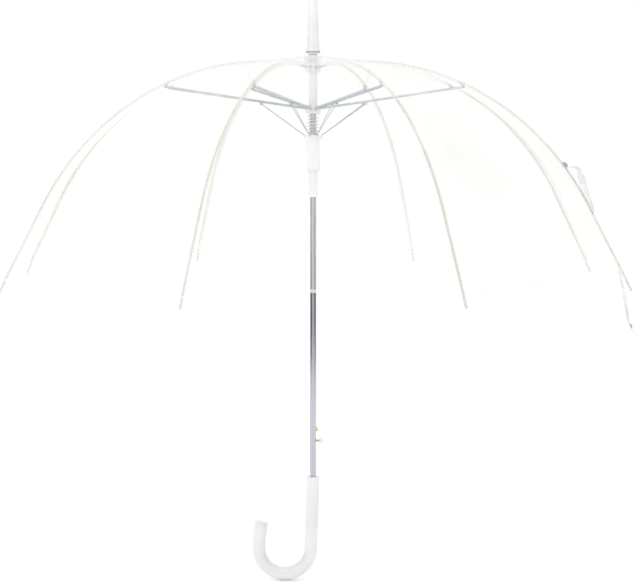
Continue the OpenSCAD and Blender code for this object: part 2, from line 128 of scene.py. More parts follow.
def film_line(s, lift=FILM_LIFT):
    """(r, z) of the film over a rib; near the middle it rises to the ferrule's foot."""
    if s >= CROWN_EDGE_S:
        return rib_point(s, lift)
    edge_r, edge_z = rib_point(CROWN_EDGE_S, lift)
    t = max(0.0, s / CROWN_EDGE_S)
    run = edge_r - APEX_R
    start, end = -0.17 * run, -math.tan(rib_slope(CROWN_EDGE_S)) * run
    rise = (
        (2 * t**3 - 3 * t**2 + 1) * (APEX_Z + lift - FILM_LIFT)
        + (t**3 - 2 * t**2 + t) * start
        + (3 * t**2 - 2 * t**3) * edge_z
        + (t**3 - t**2) * end
    )
    return APEX_R + t * run, rise


def place(turn, r, z, across=0.0):
    """A point at distance r in direction turn, moved sideways by across."""
    return Vector((
        r * math.cos(turn) - across * math.sin(turn),
        r * math.sin(turn) + across * math.cos(turn),
        z,
    ))


def outward(turn):
    return Vector((math.cos(turn), math.sin(turn), 0))


def sideways(turn):
    return Vector((-math.sin(turn), math.cos(turn), 0))


# ---------------------------------------------------------------- mesh helpers


def new_object(name, verts, faces, material, smooth=True, sharp=40):
    mesh = bpy.data.meshes.new(name)
    mesh.from_pydata([tuple(v) for v in verts], [], faces)
    mesh.validate()
    mesh.update()
    piece = bpy.data.objects.new(name, mesh)
    bpy.context.scene.collection.objects.link(piece)
    mesh.materials.append(material)
    if smooth:
        mesh.shade_smooth()
        mesh.set_sharp_from_angle(angle=math.radians(sharp))
    return piece


def outward_faces(piece):
    """Makes a closed mesh's faces point outwards."""
    work = bmesh.new()
    work.from_mesh(piece.data)
    bmesh.ops.recalc_face_normals(work, faces=work.faces)
    work.to_mesh(piece.data)
    work.free()
    return piece


def grid(rows, columns, wrap=False):
    """Faces of a grid of points that is stored row by row."""
    across = columns if wrap else columns - 1
    return [
        (
            row * columns + column,
            row * columns + (column + 1) % columns,
            (row + 1) * columns + (column + 1) % columns,
            (row + 1) * columns + column,
        )
        for row in range(rows - 1)
        for column in range(across)
    ]


def tube(name, rings, material, sharp=40):
    """Closed skin over rings of points with equal counts; the two end rings are filled."""
    count = len(rings[0])
    verts = [point for ring in rings for point in ring]
    faces = grid(len(rings), count, wrap=True)
    faces.append(tuple(range(count)))
    faces.append(tuple((len(rings) - 1) * count + k for k in reversed(range(count))))
    return outward_faces(new_object(name, verts, faces, material, sharp=sharp))


def ring_round(centre, side, up, radius, sides, flatten=1.0):
    """Ring of points in the plane of side and up."""
    return [
        centre
        + side * radius * math.cos(2 * math.pi * k / sides)
        + up * radius * flatten * math.sin(2 * math.pi * k / sides)
        for k in range(sides)
    ]


def sweep(name, path, radii, side, material, sides=20, flatten=1.0, sharp=40):
    """Round bar along a path that lies in one plane; side is that plane's normal."""
    rings = []
    for k, centre in enumerate(path):
        step = path[min(k + 1, len(path) - 1)] - path[max(k - 1, 0)]
        up = side.cross(step).normalized()
        rings.append(ring_round(centre, side, up, radii[k], sides, flatten))
    return tube(name, rings, material, sharp)


def lathe(name, profile, material, axis=None, sides=64, sharp=40):
    """Turned piece from (radius, height) points; the matrix axis puts it in place."""
    rings = [
        [
            Vector((r * math.cos(2 * math.pi * k / sides), r * math.sin(2 * math.pi * k / sides), z))
            for k in range(sides)
        ]
        for r, z in profile
    ]
    piece = tube(name, rings, material, sharp)
    if axis is not None:
        piece.data.transform(axis)
        piece.data.update()
    return piece


def pipe(name, outer, inner, material, sides=64, sharp=40):
    """Turned piece with a hole: outer profile up, then inner profile down."""
    loop = outer + inner[::-1]
    verts = [
        Vector((r * math.cos(2 * math.pi * k / sides), r * math.sin(2 * math.pi * k / sides), z))
        for r, z in loop
        for k in range(sides)
    ]
    count = len(loop)
    faces = [
        (
            row * sides + k,
            row * sides + (k + 1) % sides,
            ((row + 1) % count) * sides + (k + 1) % sides,
            ((row + 1) % count) * sides + k,
        )
        for row in range(count)
        for k in range(sides)
    ]
    return outward_faces(new_object(name, verts, faces, material, sharp=sharp))


def islands(mesh):
    """Loose parts of a mesh as lists of vertex numbers, largest first."""
    work = bmesh.new()
    work.from_mesh(mesh)
    work.verts.ensure_lookup_table()
    seen, found = set(), []
    for start in work.verts:
        if start.index in seen:
            continue
        stack, part = [start], []
        seen.add(start.index)
        while stack:
            vert = stack.pop()
            part.append(vert.index)
            for edge in vert.link_edges:
                other = edge.other_vert(vert)
                if other.index not in seen:
                    seen.add(other.index)
                    stack.append(other)
        found.append(part)
    work.free()
    return sorted(found, key=len, reverse=True)


def refined(name, node, material, bevel=0.25 * MM, keep=None):
    """Copy of a CAD node with its edges rounded. keep(centre, size) picks among its solids."""
    source = frame["nodes"][node]
    mesh = source.data.copy()
    piece = bpy.data.objects.new(name, mesh)
    bpy.context.scene.collection.objects.link(piece)
    piece.matrix_world = source.matrix_world
    work = bmesh.new()
    work.from_mesh(mesh)
    bmesh.ops.remove_doubles(work, verts=work.verts, dist=1e-6)
    work.to_mesh(mesh)
    work.free()
    if keep is not None:
        dropped = set()
        for part in islands(mesh):
            points = [mesh.vertices[k].co for k in part]
            low = Vector(min(p[a] for p in points) for a in range(3))
            high = Vector(max(p[a] for p in points) for a in range(3))
            if not keep((low + high) / 2, high - low):
                dropped.update(part)
        work = bmesh.new()
        work.from_mesh(mesh)
        work.verts.ensure_lookup_table()
        bmesh.ops.delete(work, geom=[work.verts[k] for k in dropped], context="VERTS")
        work.to_mesh(mesh)
        work.free()
    work = bmesh.new()
    work.from_mesh(mesh)
    bmesh.ops.dissolve_limit(
        work, angle_limit=math.radians(1), verts=work.verts, edges=work.edges
    )
    bmesh.ops.recalc_face_normals(work, faces=work.faces)
    work.to_mesh(mesh)
    work.free()
    mesh.materials.clear()
    mesh.materials.append(material)
    if bevel:
        rounding = piece.modifiers.new("edges", "BEVEL")
        rounding.width = bevel
        rounding.segments = 2
        rounding.limit_method = "ANGLE"
        rounding.angle_limit = math.radians(40)
        rounding.harden_normals = False
    mesh.shade_smooth()
    mesh.set_sharp_from_angle(angle=math.radians(45))
    return piece


# ---------------------------------------------------------------- materials


class Shader:
    """One procedural material: a Principled shader and the nodes that feed it."""

    def __init__(self, name):
        self.material = bpy.data.materials.new(name)
        self.material.use_nodes = True
        self.tree = self.material.node_tree
        self.tree.nodes.clear()
        self.out = self.tree.nodes.new("ShaderNodeOutputMaterial")
        self.main = self.tree.nodes.new("ShaderNodeBsdfPrincipled")
        self.tree.links.new(self.main.outputs[0], self.out.inputs[0])

    def set(self, **values):
        for key, value in values.items():
            self.main.inputs[key.replace("_", " ")].default_value = value
        return self

    def node(self, kind, **inputs):
        made = self.tree.nodes.new(kind)
        for key, value in inputs.items():
            made.inputs[key.replace("_", " ")].default_value = value
        return made

    def link(self, source, target):
        self.tree.links.new(source, target)

    def coords(self, stretch=(1, 1, 1), turn=(0, 0, 0)):
        """Object coordinates, scaled by stretch after a turn."""
        place_in = self.node("ShaderNodeTexCoord")
        mapping = self.node("ShaderNodeMapping", Scale=stretch, Rotation=turn)
        self.link(place_in.outputs["Object"], mapping.inputs["Vector"])
        return mapping.outputs["Vector"]

    def noise(self, scale, detail=3, rough=0.5, stretch=(1, 1, 1), turn=(0, 0, 0)):
        made = self.node("ShaderNodeTexNoise", Scale=scale, Detail=detail, Roughness=rough)
        self.link(self.coords(stretch, turn), made.inputs["Vector"])
        return made.outputs["Fac"]

    def spread(self, value, low, high, to_low, to_high):
        """Maps a value's range onto another."""
        made = self.node(
            "ShaderNodeMapRange",
            From_Min=low, From_Max=high, To_Min=to_low, To_Max=to_high,
        )
        self.link(value, made.inputs["Value"])
        return made.outputs["Result"]

    def colours(self, value, low_colour, high_colour, low=0.35, high=0.65):
        """Base colour that drifts between two colours."""
        ramp = self.node("ShaderNodeValToRGB")
        ramp.color_ramp.elements[0].position = low
        ramp.color_ramp.elements[0].color = (*low_colour, 1)
        ramp.color_ramp.elements[1].position = high
        ramp.color_ramp.elements[1].color = (*high_colour, 1)
        self.link(value, ramp.inputs["Fac"])
        self.link(ramp.outputs["Color"], self.main.inputs["Base Color"])
        return self

    def bump(self, value, distance, strength=1.0):
        made = self.node("ShaderNodeBump", Strength=strength, Distance=distance)
        self.link(value, made.inputs["Height"])
        self.link(made.outputs["Normal"], self.main.inputs["Normal"])
        return self

    def roughness(self, value, low, high):
        self.link(self.spread(value, 0.3, 0.7, low, high), self.main.inputs["Roughness"])
        return self

    def clear(self, face_on, edge_on, bend=2.0):
        """Lets light through: face_on and edge_on are how solid the skin looks."""
        weight = self.node("ShaderNodeLayerWeight", Blend=0.5)
        power = self.node("ShaderNodeMath")
        power.operation = "POWER"
        power.inputs[1].default_value = bend
        self.link(weight.outputs["Facing"], power.inputs[0])
        alpha = self.spread(power.outputs[0], 0.0, 1.0, face_on, edge_on)
        self.link(alpha, self.main.inputs["Alpha"])
        return self


def film_material():
    """Clear film: faint face on, milky where it is seen at a low angle."""
    film = Shader("clear_film")
    film.set(IOR=1.45, Specular_IOR_Level=0.35, Roughness=0.09)
    film.colours(film.noise(7, 4), (0.88, 0.88, 0.845), (0.945, 0.945, 0.93))
    film.bump(film.noise(16, 2, 0.5), 0.4 * MM, 0.4)
    return film.clear(0.24, 0.85, 2.8).material


def weld_material():
    """Doubled and welded film along the ribs."""
    weld = Shader("welded_seam")
    weld.set(IOR=1.45, Specular_IOR_Level=0.3, Roughness=0.2)
    weld.colours(weld.noise(24, 2), (0.84, 0.835, 0.78), (0.93, 0.93, 0.9))
    return weld.clear(0.22, 0.7, 1.6).material


def hem_material():
    """Turned and welded edge, milky where the film is doubled."""
    hem = Shader("film_hem")
    hem.set(IOR=1.45, Specular_IOR_Level=0.2, Roughness=0.25)
    hem.colours(hem.noise(24, 2), (0.965, 0.965, 0.96), (0.99, 0.99, 0.985))
    return hem.clear(0.3, 0.62, 1.5).material


def strap_material():
    """Soft clear band, a little milky, with glints along its turns."""
    strap = Shader("strap_film")
    strap.set(IOR=1.45, Specular_IOR_Level=0.5, Roughness=0.12)
    strap.colours(strap.noise(60, 3), (0.68, 0.69, 0.68), (0.9, 0.9, 0.89))
    strap.bump(strap.noise(130, 2), 0.25 * MM, 0.6)
    return strap.clear(0.42, 0.85, 1.4).material


def clear_plastic_material():
    clear = Shader("clear_plastic")
    clear.set(IOR=1.45, Roughness=0.1, Coat_Weight=0.3)
    clear.colours(clear.noise(120, 2), (0.8, 0.815, 0.82), (0.93, 0.935, 0.94))
    return clear.clear(0.55, 0.92, 1.3).material


def rib_material():
    """Fibreglass: ivory rod with long lengthwise strands under a clear resin."""
    rib = Shader("rib_fibreglass")
    rib.set(Roughness=0.34, Coat_Weight=0.3, Coat_Roughness=0.15)
    rib.colours(rib.noise(14, 3, 0.5), (0.77, 0.755, 0.69), (0.87, 0.855, 0.805))
    rib.bump(rib.noise(45, 2), 0.03 * MM, 0.3)
    return rib.material


def plastic_material(name, dark, pale, rough=0.22, grain=220):
    """Moulded plastic with faint shade drift, worn gloss and a fine mould grain."""
    plastic = Shader(name)
    plastic.set(IOR=1.5, Coat_Weight=0.25, Coat_Roughness=0.06)
    plastic.colours(plastic.noise(40, 4), dark, pale)
    plastic.roughness(plastic.noise(130, 4), rough - 0.05, rough + 0.06)
    plastic.bump(plastic.noise(grain, 2), 0.02 * MM, 0.25)
    return plastic.material


def steel_material(name, dark, pale, rough, stretch=(1, 1, 1), scale=120):
    """Drawn or plated steel with marks along stretch."""
    steel = Shader(name)
    steel.set(Metallic=1.0)
    marks = steel.noise(scale, 3, 0.6, stretch)
    steel.colours(marks, dark, pale)
    steel.roughness(marks, rough, rough + 0.1)
    steel.bump(marks, 0.01 * MM, 0.25)
    return steel.material


def handle_material():
    """Gloss moulded plastic with a trace of flow marks and fine handling scuffs."""
    handle = Shader("handle_plastic")
    handle.set(IOR=1.5, Coat_Weight=0.4, Coat_Roughness=0.05)
    handle.colours(handle.noise(18, 5), (0.73, 0.735, 0.74), (0.8, 0.802, 0.808))
    handle.roughness(handle.noise(160, 5, 0.65), 0.16, 0.28)
    handle.bump(handle.noise(60, 3), 0.04 * MM, 0.3)
    return handle.material


FILM = film_material()
WELD = weld_material()
HEM = hem_material()
STRAP = strap_material()
CLEAR = clear_plastic_material()
RIB = rib_material()
HANDLE = handle_material()
FERRULE = plastic_material("ferrule_plastic", (0.8, 0.805, 0.81), (0.88, 0.882, 0.885), 0.24)
HUB = plastic_material("hub_plastic", (0.68, 0.69, 0.7), (0.8, 0.81, 0.82), 0.3)
RUNNER = plastic_material("runner_plastic", (0.78, 0.79, 0.8), (0.87, 0.88, 0.89), 0.26)
CLIP = plastic_material("clip_plastic", (0.5, 0.51, 0.5), (0.68, 0.69, 0.68), 0.35)
RIVET = plastic_material("dark_rivet", (0.03, 0.03, 0.032), (0.07, 0.07, 0.075), 0.4)
RING = plastic_material("ferrule_ring", (0.34, 0.345, 0.35), (0.48, 0.485, 0.49), 0.3)
SNAP = plastic_material("snap_plastic", (0.36, 0.37, 0.38), (0.54, 0.55, 0.56), 0.25)
SHAFT = steel_material("steel_tube", (0.46, 0.48, 0.52), (0.6, 0.62, 0.66), 0.08, (1, 1, 0.02), 260)
CHANNEL = steel_material("stretcher_steel", (0.44, 0.5, 0.56), (0.62, 0.69, 0.75), 0.3)
WIRE = steel_material("wire_steel", (0.36, 0.37, 0.38), (0.55, 0.56, 0.57), 0.2)
SPRING = steel_material("spring_steel", (0.6, 0.61, 0.62), (0.78, 0.79, 0.8), 0.2)
BRASS = steel_material("latch_brass", (0.62, 0.42, 0.2), (0.8, 0.6, 0.36), 0.22)


# ---------------------------------------------------------------- pieces


def finish_piece(piece, body, slot, *nodes):
    """Puts a rigid piece on its body and hides the nodes it stands for; slot is not used."""
    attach(piece, body)
    if nodes:
        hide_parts(*nodes)
    return piece


def rib_path(start, end, step):
    """Stations from start to end along a rib."""
    count = max(2, round((end - start) / step))
    return [start + (end - start) * k / count for k in range(count + 1)]


def bend_at_clip(piece):
    """On the real rib the outer length turns on the inner one a little beyond the clip; here the piece's
    place is only baked into its mesh.
    """
    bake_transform(piece)


def make_rod(i):
    """Springy rod of one rib, from its blade at the notch to its tip."""
    turn = azimuth(i)
    stations = rib_path(0.0105, RIB_LENGTH - 0.0012, 0.006)
    path = [place(turn, *rib_point(s)) for s in stations]
    radii = [ROD_R] * len(path)
    rod = sweep(f"rib_rod_{i}", path, radii, sideways(turn), RIB, sides=16)
    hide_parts(f"rib_inner_{i}", f"rib_outer_{i}")
    bend_at_clip(rod)


def make_blade(i):
    """Flat eye of a rib that turns on the notch's ring wire."""
    turn = azimuth(i)
    half = 0.9 * MM
    outline = []
    for k in range(17):
        u = math.radians(90 + 180 * k / 16)
        outline.append((1.7 * MM * math.cos(u), 1.7 * MM * math.sin(u)))
    outline += [(3.5 * MM, -1.35 * MM), (11 * MM, -1.3 * MM), (12.5 * MM, -0.8 * MM)]
    outline += [(12.5 * MM, 0.8 * MM), (11 * MM, 1.3 * MM), (3.5 * MM, 1.35 * MM)]
    rings = []
    for across, scale in ((-half, 0.86), (-0.8 * half, 1), (0.8 * half, 1), (half, 0.86)):
        ring = []
        for u, v in outline:
            along, rise = u, v * scale
            r = NOTCH_R + along * math.cos(CROWN_RISE) - rise * math.sin(CROWN_RISE)
            z = NOTCH_Z + along * math.sin(CROWN_RISE) + rise * math.cos(CROWN_RISE)
            ring.append(place(turn, r, z, across))
        rings.append(ring)
    blade = tube(f"rib_blade_{i}", rings, CHANNEL)
    finish_piece(blade, f"rib_inner_{i}", "stretcher_steel")


def make_clip(i):
    """Joint clip on a rib, with the tongue that the stretcher is riveted to."""

    def is_clip(centre, size):
        return size.length < 0.05

    clip = refined(f"rib_clip_{i}", f"rib_inner_{i}", CLIP, 0.2 * MM, is_clip)
    finish_piece(clip, f"rib_inner_{i}", "clear_plastic")
    x, y, z = JOINTS[f"stretcher_turn_{i}"]["pos_m"]
    side = sideways(azimuth(i))
    half = 2.1 * MM
    profile = [
        (0.5 * MM, -half), (0.95 * MM, -half + 0.1 * MM), (1.1 * MM, -half + 0.5 * MM),
        (1.1 * MM, half - 0.5 * MM), (0.95 * MM, half - 0.1 * MM), (0.5 * MM, half),
    ]
    up = Vector((0, 0, 1))
    stand = Matrix((side.cross(up), up, side)).transposed().to_4x4()
    rivet = lathe(f"clip_rivet_{i}", profile, RIVET, Matrix.Translation((x, y, z)) @ stand, sides=24)
    finish_piece(rivet, f"stretcher_{i}", "stretcher_steel")


def make_tip(i):
    """Tip cap: a ribbed neck that holds the hem, and a rounded, slightly bent end."""
    turn = azimuth(i)
    profile = [
        (0.0, 1.62), (0.3, 2.1), (1.0, 2.35), (2.2, 2.35), (2.6, 2.0), (3.2, 2.0), (3.6, 2.3),
        (4.6, 2.3), (5.0, 2.0), (10.0, 2.05), (13.0, 2.25), (14.8, 2.3), (15.7, 1.95), (16.2, 1.3),
        (16.4, 0.5),
    ]
    base = RIB_LENGTH - 0.0165
    r0, z0 = rib_point(base)
    slope = rib_slope(base)
    side = sideways(turn)
    path, radii = [], []
    for along, radius in profile:
        a = along * MM
        droop = 0.35 * MM * (along / 16.4) ** 2
        r = r0 + a * math.cos(slope) - droop * math.sin(slope)
        z = z0 - a * math.sin(slope) - droop * math.cos(slope)
        path.append(place(turn, r, z))
        radii.append(radius * MM)
    tip = sweep(f"tip_cap_{i}", path, radii, side, CLEAR, sides=24, sharp=60)
    finish_piece(tip, f"rib_outer_{i}", "clear_plastic")


# ---------------------------------------------------------------- canopy film

GORE_STEPS = 12
CROWN_ROWS = 22
SKIRT_ROWS = 40
HEM_RISE = 0.004
FILM_SAG = 0.0045


def film_point(turn, side, s, u, lift=FILM_LIFT):
    """Point of the film: s down the rib, u from the rib (0) to the gore's middle (1)."""
    r, z = film_line(s, lift)
    swing = u * HALF
    flat = math.cos(HALF) / math.cos(HALF - swing)
    slack = math.sin(math.pi * min(1.0, s / HEM_S)) ** 0.7 if s > 0 else 0.0
    sag = FILM_SAG * (0.25 + slack) * math.sin(math.pi * u / 2) ** 2 * min(1.0, s / 0.06)
    slope = rib_slope(max(s, CROWN_EDGE_S))
    r = r * flat - sag * math.sin(slope)
    z = z - sag * math.cos(slope)
    return place(turn + side * swing, r, z)


def hem_drop(u):
    """The hem lies a little higher between the ribs."""
    return HEM_S - HEM_RISE * math.sin(math.pi * u / 2) ** 2


def make_half_gore(i, side, upper):
    turn = azimuth(i)
    part = "crown" if upper else "skirt"
    hand = "a" if side < 0 else "b"
    rows = CROWN_ROWS if upper else SKIRT_ROWS
    verts = []
    for row in range(rows + 1):
        for column in range(GORE_STEPS + 1):
            u = column / GORE_STEPS
            low, high = (0.0, CLIP_S) if upper else (CLIP_S, hem_drop(u))
            s = low + (high - low) * row / rows
            verts.append(film_point(turn, side, s, u))
    faces = grid(rows + 1, GORE_STEPS + 1)
    if side > 0:
        faces = [face[::-1] for face in faces]
    film = new_object(f"film_{part}_{i}{hand}", verts, faces, FILM, sharp=180)
    body = f"rib_inner_{i}" if upper else f"rib_outer_{i}"
    node = f"crown_panel_{i}" if upper else f"canopy_panel_{i}"
    finish_piece(film, body, "clear_film", node)
    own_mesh(film)


def make_hem(i, side):
    """Rolled edge of one half gore: a flat bead along the hem."""
    turn = azimuth(i)
    hand = "a" if side < 0 else "b"
    width, thick = 2.2 * MM, 0.35 * MM
    rings = []
    for column in range(GORE_STEPS * 2 + 1):
        u = column / (GORE_STEPS * 2)
        s = hem_drop(u) - width
        centre = film_point(turn, side, s, u)
        down = (film_point(turn, side, s + MM, u) - centre).normalized()
        along = film_point(turn, side, s, min(1, u + 0.01)) - film_point(turn, side, s, max(0, u - 0.01))
        out = down.cross(along.normalized()).normalized()
        rings.append([
            centre
            + down * width * math.cos(2 * math.pi * k / 12)
            + out * thick * math.sin(2 * math.pi * k / 12)
            for k in range(12)
        ])
    hem = tube(f"hem_{i}{hand}", rings, HEM, sharp=60)
    finish_piece(hem, f"rib_outer_{i}", "clear_film")
    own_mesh(hem)


def make_seam(i):
    """Weld of two gores over a rib: a thin flat strip on the film."""
    turn = azimuth(i)
    half = 3.2 * MM
    stations = rib_path(0.004, HEM_S, 0.008)
    rings = []
    for s in stations:
        wide = min(half, 0.0008 + 0.03 * s + 0.0004)
        ring = []
        for across, lift in ((-1, 0.1), (-0.5, 0.35), (0, 0.45), (0.5, 0.35), (1, 0.1), (0, 0.05)):
            r, z = film_line(s, FILM_LIFT + lift * MM)
            drop = abs(across) * wide * math.tan(HALF)
            r -= drop * math.sin(rib_slope(s))
            z -= drop * math.cos(rib_slope(s)) * 0.6
            ring.append(place(turn, r, z, across * wide))
        rings.append(ring)
    seam = tube(f"seam_{i}", rings, WELD, sharp=60)
    bend_at_clip(seam)


# ---------------------------------------------------------------- middle pieces


def make_handle():
    """Crook swept in one smooth piece: stem, bend, a limb that curls in, a flat end with a round rim."""
    radius = 9.5 * MM
    rim = 2.5 * MM
    lean = math.radians(1.84)
    stem = 0.1046
    bend_r, limb_r = 0.0372, 0.15
    limb_curl = math.radians(10)
    limb_end = 0.012
    # Each stretch: its length, its bend radius (none where it is straight) and its steps.
    stretches = [
        (stem, None, 20),
        (bend_r * (math.pi - lean), bend_r, 56),
        (limb_r * limb_curl, limb_r, 10),
        (limb_end - rim, None, 4),
    ]
    heading = lean
    at = Vector((0, 0, 0))
    path, radii = [at.copy()], [radius - 0.5 * MM]
    for length, radius_here, steps in stretches:
        for _ in range(steps):
            turn = length / steps / radius_here if radius_here else 0.0
            middle = heading + turn / 2
            at = at + Vector((-math.sin(middle), 0, -math.cos(middle))) * (length / steps)
            heading += turn
            path.append(at.copy())
            radii.append(radius)
    down = Vector((-math.sin(lean), 0, -math.cos(lean)))
    path[1:1] = [down * 0.2 * MM, down * 0.8 * MM]
    radii[1:1] = [radius - 0.15 * MM, radius]
    onward = Vector((-math.sin(heading), 0, -math.cos(heading)))
    for k in range(1, 9):
        u = math.radians(90 * k / 8)
        path.append(at + onward * rim * math.sin(u))
        radii.append(radius - rim * (1 - math.cos(u)))
    path.append(at + onward * (rim + 0.01 * MM))
    radii.append(radius * 0.35)
    crook = sweep("crook_handle", path, radii, Vector((0, 1, 0)), HANDLE, sides=56, sharp=70)
    finish_piece(crook, "shaft", "handle_plastic", "handle")


def make_ferrule():
    low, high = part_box("ferrule")
    foot, top = low[2], high[2]
    foot_r = high[0]
    tip_r = 6.2 * MM
    cone = foot + 6 * MM
    end = top - 14 * MM
    profile = [
        (4.6 * MM, foot), (foot_r - 0.5 * MM, foot), (foot_r - 0.1 * MM, foot + 0.2 * MM),
        (foot_r, foot + 0.6 * MM), (foot_r, cone - 0.8 * MM), (foot_r - 0.25 * MM, cone - 0.2 * MM),
        (foot_r - 0.4 * MM, cone + 0.4 * MM),
    ]
    for k in range(1, 13):
        u = k / 12
        profile.append((foot_r - 0.4 * MM + (tip_r - foot_r + 0.4 * MM) * u, cone + (end - cone) * u))
    for k in range(9):
        u = math.radians(90 * k / 8)
        profile.append((tip_r - 2.4 * MM + 2.4 * MM * math.cos(u), top - 2.4 * MM + 2.4 * MM * math.sin(u)))
    profile.append((0.6 * MM, top))
    ferrule = lathe("ferrule_cone", profile, FERRULE, sharp=50)
    finish_piece(ferrule, "shaft", "ferrule_plastic", "ferrule")
    ring = pipe(
        "ferrule_ring",
        [(foot_r - 0.2 * MM, foot + 1.2 * MM), (foot_r + 0.25 * MM, foot + 1.5 * MM),
         (foot_r + 0.35 * MM, foot + 2.6 * MM), (foot_r + 0.25 * MM, foot + 3.7 * MM),
         (foot_r - 0.2 * MM, foot + 4 * MM)],
        [(foot_r - 0.3 * MM, foot + 1.2 * MM), (foot_r - 0.3 * MM, foot + 4 * MM)],
        RING,
    )
    finish_piece(ring, "shaft", "ferrule_plastic")


def make_spring():
    """Coil round the shaft, closed at both ends."""
    top = RUNNER_Z - 7.8 * MM
    seat = FOOT_Z - 44.2 * MM
    turns, steps, sides, wire, coil = 17, 28, 10, 0.65 * MM, 7.35 * MM
    rings = []
    for k in range(turns * steps + 1):
        u = k / (turns * steps)
        eased = u + 0.018 * math.sin(2 * math.pi * u)
        a = 2 * math.pi * k / steps
        z = top + (seat - top) * eased
        ring = []
        for j in range(sides):
            v = 2 * math.pi * j / sides
            r = coil + wire * math.cos(v)
            ring.append(Vector((r * math.cos(a), r * math.sin(a), z + wire * math.sin(v))))
        rings.append(ring)
    coil_piece = tube("opening_spring", rings, SPRING, sharp=60)
    finish_piece(coil_piece, "upper_runner", "spring_steel", "spring")
    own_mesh(coil_piece)


def make_hubs():
    notch = refined("notch_hub", "top_notch", HUB)
    finish_piece(notch, "shaft", "hub_plastic", "top_notch")
    sleeve_low, sleeve_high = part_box("stop_sleeve")
    r, z0, z1 = sleeve_high[0], sleeve_low[2], sleeve_high[2]
    sleeve = pipe(
        "stop_tube",
        [(r - 0.3 * MM, z0), (r, z0 + 0.3 * MM), (r, z1 - 3.0 * MM), (r - 0.25 * MM, z1 - 2.8 * MM),
         (r - 0.25 * MM, z1 - 2.2 * MM), (r, z1 - 2.0 * MM), (r, z1 - 0.3 * MM), (r - 0.3 * MM, z1)],
        [(4.6 * MM, z0), (4.6 * MM, z1)],
        HUB,
    )
    finish_piece(sleeve, "shaft", "hub_plastic", "stop_sleeve")
    upper = refined("upper_runner_hub", "upper_runner", HUB)
    finish_piece(upper, "upper_runner", "hub_plastic", "upper_runner")
    lower = refined("lower_runner_body", "lower_runner", RUNNER, 0.35 * MM)
    finish_piece(lower, "lower_runner", "runner_plastic", "lower_runner")


def make_latch():
    leaf = refined("latch_strip", "latch_leaf", BRASS, 0.15 * MM)
    finish_piece(leaf, "latch", "latch_brass", "latch_leaf")
    cap = refined("push_cap", "button_cap", CLEAR, 0.4 * MM)
    finish_piece(cap, "latch", "clear_plastic", "button_cap")


def make_stretchers():
    for i in RIBS:
        channel = refined(f"channel_{i}", f"stretcher_{i}", CHANNEL, 0.12 * MM)
        finish_piece(channel, f"stretcher_{i}", "stretcher_steel", f"stretcher_{i}")
        frame["nodes"][f"strut_{i}"].data.materials.clear()
        frame["nodes"][f"strut_{i}"].data.materials.append(WIRE)


# ---------------------------------------------------------------- strap


def stations(points, per_span=7):
    """Catmull-Rom curve through (length, offset, twist) stations."""
    pts = [Vector(p) for p in points]
    pts = [2 * pts[0] - pts[1], *pts, 2 * pts[-1] - pts[-2]]
    out = []
    for k in range(1, len(pts) - 2):
        a, b, c, d = pts[k - 1 : k + 3]
        for j in range(per_span):
            t = j / per_span
            bend = (2 * a - 5 * b + 4 * c - d) * t**2 + (3 * b - a - 3 * c + d) * t**3
            out.append(0.5 * (2 * b + (c - a) * t + bend))
    out.append(pts[-2])
    return out


def strap_place(turn, length, offset, across):
    """Point beside the first rib: length past the end of its bend, offset out from its axis."""
    r, z = rib_point(FLAT_LENGTH + BEND_LENGTH + length * MM, offset * MM)
    return place(turn, r, z, across)


def ribbon(name, points, width, across, turn, material):
    """Soft band that twists as it goes; across is its place beside the rib."""
    points = stations(points)
    side = -sideways(turn)
    centres = [strap_place(turn, p.x, p.y, -across) for p in points]
    thick = 0.55 * MM
    rings = []
    for k, centre in enumerate(centres):
        step = (centres[min(k + 1, len(centres) - 1)] - centres[max(k - 1, 0)]).normalized()
        out = step.cross(side).normalized()
        if out.dot(outward(turn)) < 0:
            out = -out
        twist = math.radians(points[k].z)
        wide = side * math.cos(twist) + out * math.sin(twist)
        thin = wide.cross(step).normalized()
        rings.append([
            centre + wide * width / 2 * math.cos(2 * math.pi * j / 16)
            + thin * thick / 2 * math.sin(2 * math.pi * j / 16)
            for j in range(16)
        ])
    length = sum((b - a).length for a, b in zip(centres, centres[1:]))
    return tube(name, rings, material, sharp=50), length


def press_to_rod(piece):
    """Gives a strap piece a mesh of its own; it is not pressed to the line from clip to tip as the ribs
    fold.
    """
    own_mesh(piece)


def make_snap(name, turn, length, offset, across, radius):
    """Half of the press snap: a turned ring with a raised lip and a hollow or stud in the middle."""
    profile = [
        (radius * 0.6, 0.0), (radius * 0.95, 0.05 * MM), (radius, 0.4 * MM), (radius * 0.97, 0.8 * MM),
        (radius * 0.78, 1.2 * MM), (radius * 0.62, 1.15 * MM), (radius * 0.5, 0.6 * MM),
        (radius * 0.36, 0.6 * MM), (radius * 0.3, 1.3 * MM), (radius * 0.05, 1.4 * MM),
    ]
    centre = strap_place(turn, length, offset, -across)
    out = (strap_place(turn, length, offset + 1, -across) - centre).normalized()
    side = sideways(turn)
    stand = Matrix((side, out.cross(side), out)).transposed().to_4x4()
    piece = lathe(name, profile, SNAP, Matrix.Translation(centre) @ stand, sides=40)
    finish_piece(piece, "rib_outer_1", "snap_plastic")
    return piece


